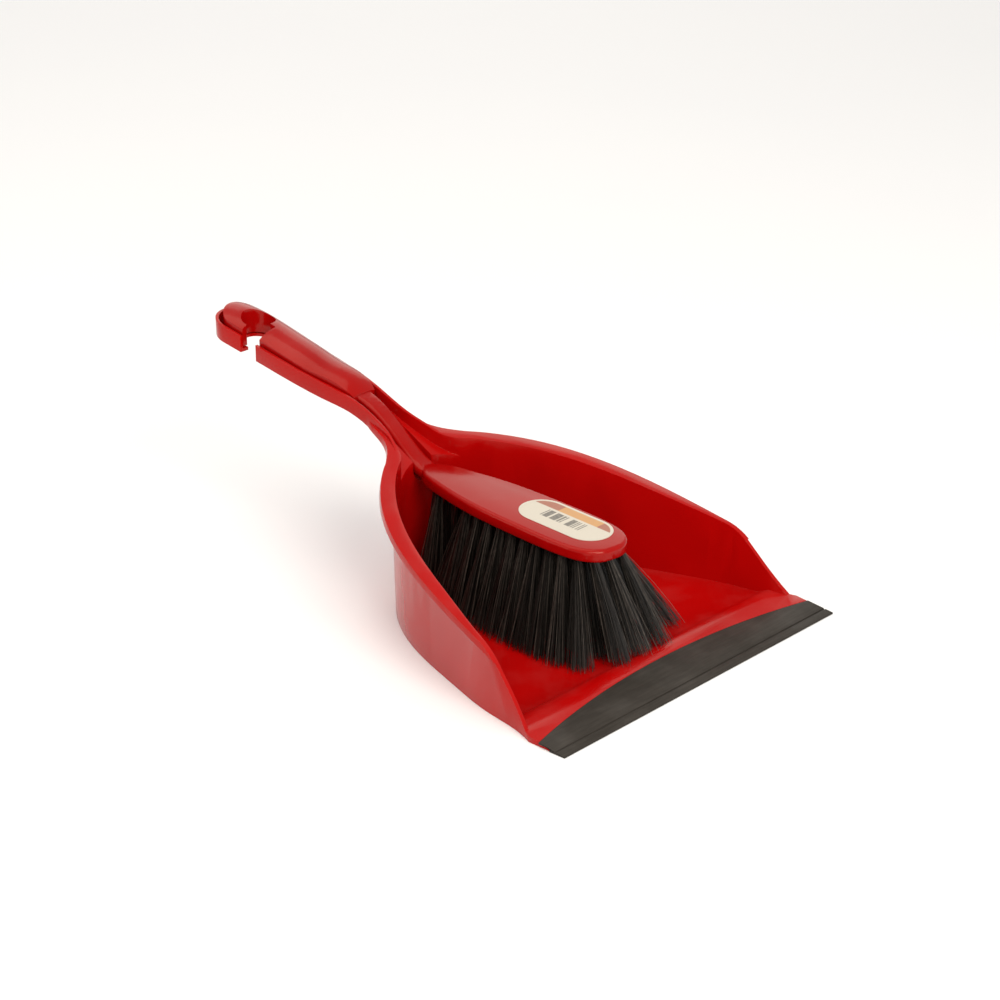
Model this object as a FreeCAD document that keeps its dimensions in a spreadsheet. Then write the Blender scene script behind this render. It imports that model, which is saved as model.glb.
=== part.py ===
"""Dustpan and hand brush set: a red moulded dustpan with a rubber lip, and the brush that nests in it.

Every sketch is drawn with X across the pan, Y from the lip's front edge towards the handle and Z up
from the floor.  Each finished sub-part is then moved back by half the overall length, so that the
origin lies at the middle of the set's footprint.
"""
import FreeCAD, Part
import math
import os

os.makedirs("parts", exist_ok=True)
doc = FreeCAD.newDocument("dustpan_and_brush")
vec = FreeCAD.Vector

# ---------------------------------------------------------------- driving dimensions (millimetres)
SIZES = (
    ("overall_length", 361.0),
    ("lip_width", 220.0),
    ("lip_depth", 30.0),
    ("lip_end_depth", 17.0),
    ("lip_edge_height", 0.9),
    ("lip_groove_start", 5.2),
    ("lip_groove_width", 0.9),
    ("lip_groove_depth", 0.5),
    ("tongue_start", 10.0),
    ("tongue_height", 1.6),
    ("crest_start", 38.0),
    ("crest_height", 5.0),
    ("ramp_end", 45.0),
    ("floor_thickness", 2.4),
    ("wall_thickness", 2.2),
    ("wall_draft", 1.2),
    ("wall_build_height", 100.0),
    ("rim_front", 61.0),
    ("rim_front_height", 37.0),
    ("rim_slope", 15.8),
    ("rim_overhang", 6.5),
    ("rim_thickness", 2.0),
    ("rim_skirt_depth", 3.8),
    ("rim_skirt_thickness", 1.6),
    ("trough_wall", 1.8),
    ("trough_end_radius", 16.0),
    ("channel_radius", 7.2),
    ("channel_low_y", 190.0),
    ("channel_low_z", 45.8),
    ("channel_rise", 38.0),
    ("channel_length", 60.0),
    ("hook_place", 332.0),
    ("hook_radius", 10.0),
    ("hook_slot_width", 12.5),
    ("hook_slot_shift", -7.7),
    ("brush_gap", 0.9),
    ("head_pivot_y", 190.0),
    ("head_pivot_z", 57.8),
    ("head_tilt", 3.1),
    ("head_thickness", 7.2),
    ("head_edge_radius", 2.4),
    ("grip_end", 355.6),
    ("grip_end_radius", 13.1),
    ("grip_corner", 4.0),
    ("label_length", 58.0),
    ("label_width", 27.0),
    ("label_thickness", 0.25),
    ("label_place", 100.0),
    ("label_shift", 3.5),
    ("row_count", 15.0),
    ("first_row", 68.0),
    ("last_row", 190.0),
    ("tuft_radius", 2.2),
    ("tuft_tip_radius", 4.2),
    ("tuft_depth", 3.2),
    ("tuft_hole_depth", 5.5),
    ("tuft_hole_gap", 0.1),
    ("tuft_tip_height", 2.9),
    ("tuft_edge_margin", 4.8),
    ("tuft_side_flare", 2.75),
    ("tuft_flare_loss", 0.9),
    ("tuft_front_lean", 27.0),
    ("front_row_flare", 1.5),
    ("front_row_shift", -4.5),
    ("tuft_back_lean", 2.0),
    ("anchor_width", 3.6),
    ("anchor_height", 1.8),
    ("anchor_thickness", 0.4),
)

sheet = doc.addObject("Spreadsheet::Sheet", "sizes")
for line, (word, size) in enumerate(SIZES, start=1):
    sheet.set(f"A{line}", word)
    sheet.set(f"B{line}", str(size))
    sheet.setAlias(f"B{line}", word)
doc.recompute()


def size_of(word):
    """The value of one cell of the sheet."""
    return float(sheet.get(word))


def bind(thing, **links):
    """Bind properties to sheet formulas; a double underscore in a name stands for a dot."""
    for prop, formula in links.items():
        thing.setExpression(prop.replace("__", "."), formula)
    return thing


# ------------------------------------------------------------------------- lines of the mouldings
# Outer foot line of the pan's right wall, from the mouth to the middle of the back.
WALL_LINE = ((109.2, 24.0), (104.0, 38.5), (100.0, 60.0), (90.4, 92.0), (77.8, 127.6),
             (59.5, 162.0), (40.0, 184.0), (20.0, 198.0), (0.0, 203.5))
# Half width of the handle's trough, outside, against the distance from the lip.
# It starts within the pan's back wall and sweeps out of it.
TROUGH_LINE = ((31.0, 192.4), (25.6, 197.1), (21.0, 201.3), (17.5, 206.0), (14.8, 211.8), (12.7, 219.2),
               (11.5, 227.5), (11.2, 236.0), (12.0, 248.0), (13.6, 263.0), (15.1, 284.0), (15.7, 317.0),
               (16.0, 345.0))
# Half width of the trough's flared mouth, inside, as far as the place where its wall is even.
TROUGH_MOUTH = ((28.5, 190.8), (23.4, 195.2), (18.9, 199.6), (15.7, 204.9), (13.1, 211.6))
# Outer edge of the pan's rim where it sweeps into the trough's sides.
RIM_SWEEP = ((37.0, 194.2), (31.0, 199.0), (25.8, 203.3), (21.4, 207.6), (18.0, 212.4), (15.3, 218.4),
             (13.3, 225.5), (11.0, 232.0))
# Heights of the trough's rim and of its underside, against the distance from the lip.
TROUGH_RIM = ((190.0, 73.3), (198.0, 75.6), (206.0, 78.4), (213.0, 82.0), (223.0, 86.2), (236.0, 91.6),
              (250.0, 96.3), (262.0, 99.0), (284.0, 103.0), (317.0, 109.6), (345.0, 115.0), (364.0, 118.6))
TROUGH_UNDERSIDE = ((190.0, 59.5), (198.0, 64.0), (206.0, 68.5), (215.0, 73.4), (225.0, 78.4),
                    (236.0, 83.2), (247.0, 87.0), (263.0, 90.0), (284.0, 93.8), (318.0, 100.2),
                    (345.0, 105.2), (364.0, 108.7))
# Plan line of the brush head's right side, from the front to the neck.
HEAD_LINE = ((0.0, 60.5), (9.5, 62.5), (16.0, 69.0), (19.6, 81.0), (20.6, 97.0), (20.4, 116.0),
             (19.6, 138.0), (17.4, 159.0), (13.2, 180.0), (8.8, 193.0), (0.0, 200.5))
# Neck of the brush: distance from the lip, half width, underside, top.
NECK_SECTIONS = ((193.5, 7.2, 58.8, 64.6), (199.5, 6.6, 59.2, 66.0), (208.0, 6.0, 62.9, 70.9),
                 (218.0, 5.7, 72.4, 79.0), (230.0, 5.6, 82.0, 87.5), (243.0, 5.8, 89.2, 93.6),
                 (252.0, 6.1, 91.2, 96.0), (260.0, 6.5, 93.4, 97.9))
# Grip of the brush: distance from the lip, half width, top, and how much its top is domed.
GRIP_SECTIONS = ((246.5, 8.2, 95.6, 0.9), (250.5, 9.4, 98.8, 1.3), (258.0, 10.3, 102.8, 2.2),
                 (272.0, 11.6, 106.4, 3.5), (290.0, 12.7, 110.4, 4.1), (312.0, 13.1, 115.6, 4.3),
                 (334.0, 13.3, 120.4, 4.3), (350.0, 13.3, 122.4, 4.0), (362.0, 13.3, 123.0, 3.8))
GRIP_HOLLOW = ((262.0, 7.5, 98.0), (275.0, 9.3, 102.0), (290.0, 10.2, 106.0), (308.0, 10.4, 110.5))


# Where the rim is narrow, where it reaches and leaves its full width, and the length that it fades over.
RIM_STATIONS = (60.0, 115.0, 165.0, 104.5)
RIM_NARROW = 0.1
# How far a cutting shape reaches past what it cuts, the rise of the handle's hollow as a share of the wall
# height, and the corner radius of the brush's neck.
CUT_OVERRUN = 5.0
VOID_RISE = 0.3
NECK_CORNER = 3.0
# Side view of the pan's walls: foot, shoulder, middle of the round corner, start of the straight rim, back.
SIDE_FOOT = (24.0, 0.0)
SIDE_SHOULDER = (51.5, 29.0)
SIDE_CORNER = (57.6, 34.5)
SIDE_RIM_START = 66.0
SIDE_BACK = 232.0
OPEN_FRONT = -20.0  # the pan's hollow is cut from in front of the lip


def height_on(line, place):
    """Height of a (distance, height) line at one distance."""
    for (y0, z0), (y1, z1) in zip(line, line[1:]):
        if y0 <= place <= y1:
            return z0 + (z1 - z0) * (place - y0) / (y1 - y0)
    raise ValueError(f"{place} lies outside the line")


def moved_out(line, amount):
    """The points of a plan line moved sideways, away from the middle of the pan."""
    moved = []
    for index, (x, y) in enumerate(line):
        x0, y0 = line[max(index - 1, 0)]
        x1, y1 = line[min(index + 1, len(line) - 1)]
        run = math.hypot(x1 - x0, y1 - y0)
        push = amount(y) if callable(amount) else amount
        normal = (0.0, 1.0) if x == 0.0 else ((y1 - y0) / run, (x0 - x1) / run)
        moved.append((x + push * normal[0], y + push * normal[1]))
    return moved


def spline(points):
    """An interpolated curve through points in the sketch plane."""
    curve = Part.BSplineCurve()
    curve.interpolate([vec(a, b, 0) for a, b in points])
    return curve


def segment(start, end):
    """A straight edge between two points in the sketch plane."""
    return Part.LineSegment(vec(*start, 0), vec(*end, 0))


def polygon(points):
    """Straight edges that close a ring of points."""
    return [segment(a, b) for a, b in zip(points, points[1:] + points[:1])]


def mirrored(points):
    """A half line from right to middle, carried on to the left side."""
    return list(points) + [(-x, y) for x, y in reversed(points[:-1])]


UPRIGHT_SIDE = FreeCAD.Rotation(vec(1, 1, 1), 120)   # sketch X along Y, sketch Y along Z
UPRIGHT_ACROSS = FreeCAD.Rotation(vec(1, 0, 0), 90)  # sketch X along X, sketch Y along Z


def sketch(name, edges, base=vec(0, 0, 0), turn=FreeCAD.Rotation()):
    """A sketch that stands free in the document."""
    drawing = doc.addObject("Sketcher::SketchObject", name)
    drawing.addGeometry(edges, False)
    drawing.Placement = FreeCAD.Placement(base, turn)
    return drawing


def extrusion(name, drawing, direction, ahead, behind="0"):
    """A solid extrusion whose two lengths are sheet formulas."""
    block = doc.addObject("Part::Extrusion", name)
    block.Base = drawing
    block.DirMode = "Custom"
    block.Dir = direction
    block.Solid = True
    return bind(block, LengthFwd=ahead, LengthRev=behind)


def loft(name, drawings, ruled):
    """A solid loft through sketches."""
    skin = doc.addObject("Part::Loft", name)
    skin.Sections = drawings
    skin.Solid = True
    skin.Ruled = ruled
    return skin


def joined(name, pieces):
    """One solid out of several."""
    whole = doc.addObject("Part::MultiFuse", name)
    whole.Shapes = pieces
    return whole


def shared(name, first, second):
    """What two solids have in common."""
    both = doc.addObject("Part::Common", name)
    both.Base = first
    both.Tool = second
    return both


def cut(name, base, tool):
    """A solid less another."""
    rest = doc.addObject("Part::Cut", name)
    rest.Base = base
    rest.Tool = tool
    return rest


def cylinder(name, radius, height):
    """A Part cylinder bound to sheet formulas."""
    return bind(doc.addObject("Part::Cylinder", name), Radius=radius, Height=height)


def box(name, across, along, up):
    """A Part box bound to sheet formulas."""
    return bind(doc.addObject("Part::Box", name), Length=across, Width=along, Height=up)


# --------------------------------------------------------------------------------------- dustpan
def pan_ring(name, grow, height, front):
    """Closed plan sketch of the pan, grown sideways, whose straight front edge lies at front."""
    line = moved_out(WALL_LINE, grow)
    corner = (line[0][0], front)
    edges = [spline(mirrored(line))]
    edges.append(segment((-line[0][0], line[0][1]), (-corner[0], front)))
    edges.append(segment((-corner[0], front), corner))
    edges.append(segment(corner, line[0]))
    return sketch(name, edges, base=vec(0, 0, height))


def rim_ring(name, grow):
    """Plan outline of the rim flange, drawn in the rim's own sloping plane."""
    slope = math.radians(size_of("rim_slope"))
    lean = math.tan(math.radians(size_of("wall_draft")))
    narrow_until, full_from, full_until, fade_length = RIM_STATIONS

    def overhang(y):
        height = size_of("rim_front_height") + math.tan(slope) * (y - size_of("rim_front"))
        share = min(max((y - narrow_until) / (full_from - narrow_until), 0.0), 1.0)
        fade = max((y - full_until) / fade_length, 0.0)
        width = RIM_NARROW + (1.0 - RIM_NARROW) * share - fade
        return lean * height + size_of("rim_overhang") * width + grow

    line = on_rim_plane(moved_out(WALL_LINE[1:], overhang))
    edges = [spline(mirrored(line)), segment((-line[0][0], line[0][1]), line[0])]
    return rim_sketch(name, edges)


def on_rim_plane(line):
    """Plan points as they lie in the rim's own sloping plane."""
    slope = math.radians(size_of("rim_slope"))
    return [(x, (y - size_of("rim_front")) / math.cos(slope)) for x, y in line]


def rim_sketch(name, edges):
    """A sketch in the rim's sloping plane."""
    place = vec(0, size_of("rim_front"), size_of("rim_front_height"))
    return sketch(name, edges, base=place, turn=FreeCAD.Rotation(vec(1, 0, 0), size_of("rim_slope")))


def rim_sweep():
    """Plan outline of the rim between the pan and the trough, in the rim's plane."""
    line = on_rim_plane(RIM_SWEEP)
    left = [(-x, y) for x, y in reversed(line)]
    edges = [spline(line), segment(line[-1], left[0]), spline(left), segment(left[-1], line[0])]
    return rim_sketch("rim_sweep_outline", edges)


def side_profile():
    """Side view of the pan's walls: foot, sloping front edge, round corner and straight rim."""
    rise = math.tan(math.radians(size_of("rim_slope")))

    def rim_point(y):
        return y, size_of("rim_front_height") + rise * (y - size_of("rim_front"))

    tip = rim_point(SIDE_RIM_START)
    far = rim_point(SIDE_BACK)
    low = (SIDE_BACK, 0.0)
    arc = Part.Arc(vec(*SIDE_SHOULDER, 0), vec(*SIDE_CORNER, 0), vec(*tip, 0))
    edges = [segment(SIDE_FOOT, SIDE_SHOULDER), arc]
    edges += [segment(tip, far), segment(far, low), segment(low, SIDE_FOOT)]
    return sketch("pan_side_profile", edges, turn=UPRIGHT_SIDE)


def pan_walls():
    """Outer solids of the pan: the drafted outline trimmed to the side profile, the rim and its sweep."""
    lean = math.tan(math.radians(size_of("wall_draft")))
    tall = size_of("wall_build_height")
    start = size_of("tongue_start")
    foot = pan_ring("pan_foot", 0.0, 0.0, start)
    block = loft("pan_block", [foot, pan_ring("pan_head", lean * tall, tall, start)], True)
    side = extrusion("pan_side", side_profile(), vec(1, 0, 0), "sizes.lip_width", "sizes.lip_width")
    walls = shared("pan_walls", block, side)
    normal = FreeCAD.Rotation(vec(1, 0, 0), size_of("rim_slope")).multVec(vec(0, 0, 1))
    slab = extrusion("rim_slab", rim_ring("rim_outline", 0.0), -normal, "sizes.rim_skirt_depth")
    inside = extrusion("rim_underside", rim_ring("rim_inset", -size_of("rim_skirt_thickness")), -normal,
                       "sizes.rim_skirt_depth * 2", "-sizes.rim_thickness")
    flange = cut("rim_flange", slab, inside)
    sweep = extrusion("rim_sweep", rim_sweep(), -normal, "sizes.rim_skirt_depth")
    return [walls, shared("rim_trimmed", flange, side), sweep]


def pan_hollow():
    """The space inside the pan, open at the front and the top."""
    lean = math.tan(math.radians(size_of("wall_draft")))
    wall = size_of("wall_thickness")
    low = size_of("floor_thickness")
    tall = size_of("wall_build_height") * 1.3
    foot = pan_ring("hollow_foot", lean * low - wall, low, OPEN_FRONT)
    return loft("pan_hollow", [foot, pan_ring("hollow_head", lean * tall - wall, tall, OPEN_FRONT)], True)


def ramp():
    """Rise behind the lip, and the space over its thin tongue that the rubber fills."""
    tongue = size_of("tongue_start")
    thin = size_of("tongue_height")
    crest = (size_of("crest_start"), size_of("crest_height"))
    end = (size_of("ramp_end"), size_of("floor_thickness"))
    slope = (crest[1] - size_of("lip_edge_height")) / crest[0]
    edge = size_of("lip_edge_height") + slope * tongue
    profile = polygon([(tongue, 0.0), (tongue, edge), crest, end, (end[0], 0.0)])
    wedge = extrusion("ramp_wedge", sketch("ramp_profile", profile, turn=UPRIGHT_SIDE), vec(1, 0, 0),
                      "sizes.lip_width", "sizes.lip_width")
    seat = extrusion("lip_seat", lip_plan("lip_seat_plan", thin), vec(0, 0, 1), "sizes.crest_height")
    return shared("ramp", wedge, doc.getObject("pan_block")), seat


def lip_plan(name, height):
    """Plan of the rubber lip: straight at the front and the ends, bowed at the back."""
    bow, right, left = lip_bow()
    edges = [bow, segment(left, (left[0], 0.0)), segment((left[0], 0.0), (right[0], 0.0)),
             segment((right[0], 0.0), right)]
    return sketch(name, edges, base=vec(0, 0, height))


def lip_bow():
    """The bowed back edge of the rubber lip, and its right and left ends."""
    half = size_of("lip_width") / 2.0
    ends = size_of("lip_end_depth")
    bow = Part.Arc(vec(half, ends, 0), vec(0, size_of("lip_depth"), 0), vec(-half, ends, 0))
    return bow, (half, ends), (-half, ends)


def trough_plan(name, side, grow):
    """Closed plan of the handle's trough with its round end."""
    wide, last = side[-1]
    tip = last + size_of("trough_end_radius") + grow
    end = Part.Arc(vec(wide, last, 0), vec(0, tip, 0), vec(-wide, last, 0))
    edges = [spline(side), end, spline([(-x, y) for x, y in reversed(side)])]
    edges.append(segment((-side[0][0], side[0][1]), side[0]))
    return sketch(name, edges)


def trough_band(name, low_line, lift, top_line, rise):
    """Side view band between two lines, extruded across the handle."""
    low = [(y, z + lift) for y, z in low_line]
    high = [(y, z + rise) for y, z in top_line]
    edges = [spline(low), segment(low[-1], high[-1]), spline(list(reversed(high)))]
    edges.append(segment(high[0], low[0]))
    return extrusion(name, sketch(name + "_profile", edges, turn=UPRIGHT_SIDE), vec(1, 0, 0),
                     "sizes.trough_end_radius * 2", "sizes.trough_end_radius * 2")


def trough():
    """The handle: an outer block and the hollow that the brush's grip lies in."""
    tall = "sizes.overall_length / 2"
    wall = size_of("trough_wall")
    block = extrusion("trough_block", trough_plan("trough_outside", TROUGH_LINE, 0.0), vec(0, 0, 1), tall)
    outer = shared("trough_outer", block, trough_band("trough_side", TROUGH_UNDERSIDE, 0.0, TROUGH_RIM, 0.0))
    inside = list(TROUGH_MOUTH) + [(x - wall, y) for x, y in TROUGH_LINE[len(TROUGH_MOUTH):]]
    space = extrusion("trough_space", trough_plan("trough_inside", inside, -wall), vec(0, 0, 1), tall)
    above = size_of("wall_build_height") * VOID_RISE
    void = trough_band("trough_void", TROUGH_UNDERSIDE, wall, TROUGH_RIM, above)
    inner = shared("trough_inner", space, void)
    return outer, inner


def neck_channel():
    """Sloping round-bottomed channel under the brush's neck, from the handle down into the pan."""
    start = vec(0, size_of("channel_low_y"), size_of("channel_low_z"))
    rise = size_of("channel_rise")
    along = FreeCAD.Rotation(vec(1, 0, 0), rise - 90.0)
    axis_up = FreeCAD.Rotation(vec(1, 0, 0), rise).multVec(vec(0, 0, 1)) * size_of("channel_radius")
    outer = cylinder("channel_outer", "sizes.channel_radius + sizes.trough_wall", "sizes.channel_length")
    outer.Placement = FreeCAD.Placement(start + axis_up, along)
    bottom = cylinder("channel_round", "sizes.channel_radius", "sizes.channel_length")
    bottom.Placement = FreeCAD.Placement(start + axis_up, along)
    slot = box("channel_slot", "sizes.channel_radius * 2", "sizes.channel_length", "sizes.channel_length / 2")
    turn = FreeCAD.Rotation(vec(1, 0, 0), rise)
    slot.Placement = FreeCAD.Placement(start + axis_up - vec(size_of("channel_radius"), 0, 0), turn)
    return outer, joined("channel_inner", [bottom, slot])


def hook_cut(name, extra, slot_extra):
    """Hanging hole through a handle, open to the left through a slot."""
    hole = cylinder(name + "_hole", f"sizes.hook_radius + {extra}", "sizes.overall_length / 2")
    hole.Placement.Base = vec(0, size_of("hook_place"), 0)
    slot = box(name + "_slot", "sizes.lip_width / 4", f"sizes.hook_slot_width + {slot_extra}",
               "sizes.overall_length / 2")
    width = size_of("hook_slot_width") + slot_extra
    middle = size_of("hook_place") + size_of("hook_slot_shift")
    slot.Placement.Base = vec(-size_of("lip_width") / 4.0, middle - width / 2.0, 0)
    return joined(name + "_cut", [hole, slot])


def dustpan():
    """The whole dustpan moulding."""
    pan_solids = pan_walls()
    handle, handle_space = trough()
    channel, channel_space = neck_channel()
    raised_floor, lip_seat = ramp()
    outside = joined("dustpan_outside", pan_solids + [handle, channel])
    spaces = joined("dustpan_spaces", [pan_hollow(), handle_space, channel_space])
    shell = cut("dustpan_shell", outside, spaces)
    with_ramp = joined("dustpan_with_ramp", [shell, raised_floor])
    return cut("dustpan", with_ramp, joined("dustpan_cuts", [lip_seat, hook_cut("pan_hook", 0.0, 0.0)]))


# --------------------------------------------------------------------------------------- rubber
def body_sketch(body, name, plane, edges):
    """A sketch on one of a body's own origin planes."""
    drawing = body.newObject("Sketcher::SketchObject", name)
    support = next(item for item in body.Origin.OriginFeatures if item.Role == plane)
    drawing.AttachmentSupport = [(support, "")]
    drawing.MapMode = "FlatFace"
    drawing.addGeometry(edges, False)
    return drawing


def lip_strip():
    """Soft rubber lip: a wedge over the pan's tongue, bowed behind and grooved along its front."""
    body = doc.addObject("PartDesign::Body", "lip_strip")
    crest = size_of("crest_height")
    edge = size_of("lip_edge_height")
    slope = (crest - edge) / size_of("crest_start")
    back = size_of("lip_depth") + 1.0
    tongue = size_of("tongue_start")
    thin = size_of("tongue_height")
    profile = polygon([(0.0, 0.0), (tongue, 0.0), (tongue, thin), (back, thin), (back, edge + slope * back),
                       (0.0, edge)])
    pad = body.newObject("PartDesign::Pad", "lip_pad")
    pad.Profile = body_sketch(body, "lip_profile", "YZ_Plane", profile)
    pad.Midplane = True
    bind(pad, Length="sizes.lip_width")
    bow, right, left = lip_bow()
    far_right = (right[0] + CUT_OVERRUN, back * 2.0)
    far_left = (-far_right[0], far_right[1])
    behind = [bow, segment(left, far_left), segment(far_left, far_right), segment(far_right, right)]
    trim = body.newObject("PartDesign::Pocket", "lip_back")
    trim.Profile = body_sketch(body, "lip_bow", "XY_Plane", behind)
    trim.Midplane = True
    bind(trim, Length="sizes.crest_height * 4")
    start = size_of("lip_groove_start")
    wide = size_of("lip_groove_width")
    top = edge + slope * start
    deep = size_of("lip_groove_depth")
    end = start + wide
    notch = polygon([(start, top - deep), (end, top - deep), (end, top + 1.0), (start, top + 1.0)])
    groove = body.newObject("PartDesign::Pocket", "lip_groove")
    groove.Profile = body_sketch(body, "lip_groove_profile", "YZ_Plane", notch)
    groove.Midplane = True
    bind(groove, Length="sizes.lip_width * 2")
    return body


# ---------------------------------------------------------------------------------------- brush
def rounded_section(name, place, half, low, high, corner):
    """Upright rounded rectangle across the brush at one distance from the lip."""
    radius = min(corner, half * 0.95, (high - low) * 0.48)
    corners = ((half, high, 0), (-half, high, 90), (-half, low, 180), (half, low, 270))
    arcs = []
    for x, z, start in corners:
        centre = (x - math.copysign(radius, x), z - radius if z == high else z + radius)
        turn = [math.radians(start + step) for step in (0, 45, 90)]
        arcs.append([(centre[0] + radius * math.cos(a), centre[1] + radius * math.sin(a)) for a in turn])
    edges = []
    for index, points in enumerate(arcs):
        edges.append(Part.Arc(*[vec(a, b, 0) for a, b in points]))
        edges.append(segment(points[2], arcs[(index + 1) % 4][0]))
    return sketch(name, edges, base=vec(0, place, 0), turn=UPRIGHT_ACROSS)


def domed_section(name, place, half, low, high, dome):
    """Upright section across the grip: flat below, straight at the sides and domed on top."""
    right = (half, high - dome)
    left = (-half, high - dome)
    edges = [segment((-half, low), (half, low)), segment((half, low), right)]
    edges.append(Part.Arc(vec(*right, 0), vec(0, high, 0), vec(*left, 0)))
    edges.append(segment(left, (-half, low)))
    return sketch(name, edges, base=vec(0, place, 0), turn=UPRIGHT_ACROSS)


def grip_floor(place):
    """Height of the grip's underside: just clear of the trough's floor."""
    return height_on(TROUGH_UNDERSIDE, place) + size_of("trough_wall") + size_of("brush_gap")


def on_head(x, y, up):
    """Placement on the tilted head: a plan position and a height above the head's underside."""
    pivot = vec(0, size_of("head_pivot_y"), size_of("head_pivot_z"))
    tilt = FreeCAD.Placement(pivot, FreeCAD.Rotation(vec(1, 0, 0), size_of("head_tilt")))
    return tilt * FreeCAD.Placement(vec(x, y - pivot.y, up), FreeCAD.Rotation())


def tuft_places():
    """Root and tip of every tuft, row by row: lists of (root x, root y, tip point)."""
    rows = int(size_of("row_count"))
    first = size_of("first_row")
    last = size_of("last_row")
    margin = size_of("tuft_edge_margin")
    level = size_of("tuft_tip_height")
    head_side = sorted((y, x) for x, y in HEAD_LINE)
    places = []
    for row in range(rows):
        share = row / (rows - 1)
        y = first + (last - first) * share
        across = 1 if row in (0, rows - 2, rows - 1) else 2
        reach = height_on(head_side, y) - margin
        flare = size_of("tuft_side_flare") - size_of("tuft_flare_loss") * share
        height = level
        shift = 0.0
        if row == 0:
            flare = size_of("front_row_flare")
            shift = size_of("front_row_shift")
            height += size_of("crest_height") - size_of("floor_thickness")
        lean = -size_of("tuft_front_lean") * (1.0 - share) ** 2.5 + size_of("tuft_back_lean") * share ** 3
        line = []
        for side in range(-across, across + 1):
            x = side / across * reach
            line.append((x, y, vec(x * flare + shift, y + lean, height)))
        places.append(line)
    return places


def tuft_holes(places):
    """Blind holes in the head's underside, one for each tuft."""
    drills = []
    for row, line in enumerate(places, start=1):
        for number, (x, y, _) in enumerate(line, start=1):
            drill = cylinder(f"hole_{row:02d}_{number}", "sizes.tuft_radius + sizes.tuft_hole_gap",
                             f"sizes.tuft_hole_depth + {CUT_OVERRUN}")
            drill.Placement = on_head(x, y, -CUT_OVERRUN)
            drills.append(drill)
    holes = doc.addObject("Part::Compound", "tuft_holes")
    holes.Links = drills
    return holes


def brush_head():
    """Flat head of the brush with rounded edges."""
    right = [(x, y) for x, y in HEAD_LINE]
    left = [(-x, y) for x, y in reversed(HEAD_LINE)]
    ring = Part.BSplineCurve()
    ring.interpolate(Points=[vec(a, b, 0) for a, b in right + left[1:-1]], PeriodicFlag=True)
    drawing = sketch("head_plan", [ring])
    drawing.Placement = on_head(0, 0, 0)
    up = drawing.Placement.Rotation.multVec(vec(0, 0, 1))
    block = extrusion("head_block", drawing, up, "sizes.head_thickness")
    doc.recompute()
    softened = doc.addObject("Part::Fillet", "head_rounded")
    softened.Base = block
    radius = size_of("head_edge_radius")
    edges = []
    for number, edge in enumerate(block.Shape.Edges, start=1):
        if edge.Closed:
            high = (edge.CenterOfMass - drawing.Placement.Base).dot(up) > size_of("head_thickness") / 2.0
            share = radius if high else radius * 0.6
            edges.append((number, share, share))
    softened.Edges = edges
    return softened


def brush_grip():
    """Grip with a domed top, a round end and a hollow underside."""
    corner = size_of("grip_corner")
    sections = []
    for number, (place, half, top, dome) in enumerate(GRIP_SECTIONS, start=1):
        sections.append(domed_section(f"grip_section_{number}", place, half, grip_floor(place), top, dome))
    solid = loft("grip_loft", sections, False)
    radius = size_of("grip_end_radius")
    end_place = size_of("grip_end") - radius
    wide = radius + 1.0
    widen_place = end_place - radius * 1.5
    front = GRIP_SECTIONS[0][0] - 2.0
    arc = Part.Arc(vec(radius, end_place, 0), vec(0, end_place + radius, 0), vec(-radius, end_place, 0))
    ring_points = [(-radius, end_place), (-wide, widen_place), (-wide, front), (wide, front),
                   (wide, widen_place), (radius, end_place)]
    edges = [arc] + [segment(a, b) for a, b in zip(ring_points, ring_points[1:])]
    plan = extrusion("grip_plan", sketch("grip_outline", edges), vec(0, 0, 1), "sizes.overall_length / 2")
    grip = shared("grip_solid", solid, plan)
    hollow_sections = []
    for number, (place, half, top) in enumerate(GRIP_HOLLOW, start=1):
        low = grip_floor(place) - size_of("grip_corner")
        hollow_sections.append(rounded_section(f"hollow_section_{number}", place, half, low, top, corner / 2.0))
    return cut("grip", grip, loft("grip_hollow", hollow_sections, False))


def brush_body(places):
    """Head, neck and grip in one moulding, drilled for the tufts."""
    neck_parts = []
    for number, (place, half, low, top) in enumerate(NECK_SECTIONS, start=1):
        section = rounded_section(f"neck_section_{number}", place, half, low, top, NECK_CORNER)
        neck_parts.append(section)
    neck = loft("neck", neck_parts, False)
    drilled = cut("head_drilled", brush_head(), tuft_holes(places))
    whole = joined("brush_whole", [drilled, neck, brush_grip()])
    return cut("brush_body", whole, hook_cut("brush_hook", 0.0, 1.5))


def label():
    """Oval paper label on top of the head."""
    body = doc.addObject("PartDesign::Body", "label")
    half_width = size_of("label_width") / 2.0
    high = size_of("label_length") / 2.0 - half_width
    low = -high
    edges = [Part.Arc(vec(half_width, high, 0), vec(0, high + half_width, 0), vec(-half_width, high, 0)),
             segment((-half_width, high), (-half_width, low)),
             Part.Arc(vec(-half_width, low, 0), vec(0, low - half_width, 0), vec(half_width, low, 0)),
             segment((half_width, low), (half_width, high))]
    drawing = body_sketch(body, "label_plan", "XY_Plane", edges)
    pad = body.newObject("PartDesign::Pad", "label_pad")
    pad.Profile = drawing
    bind(pad, Length="sizes.label_thickness")
    return body


# --------------------------------------------------------------------------------------- tufts
def ring(name, place, radius):
    """A circle bound to a sheet formula."""
    circle = bind(doc.addObject("Part::Circle", name), Radius=radius)
    circle.Placement = place
    return circle


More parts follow.
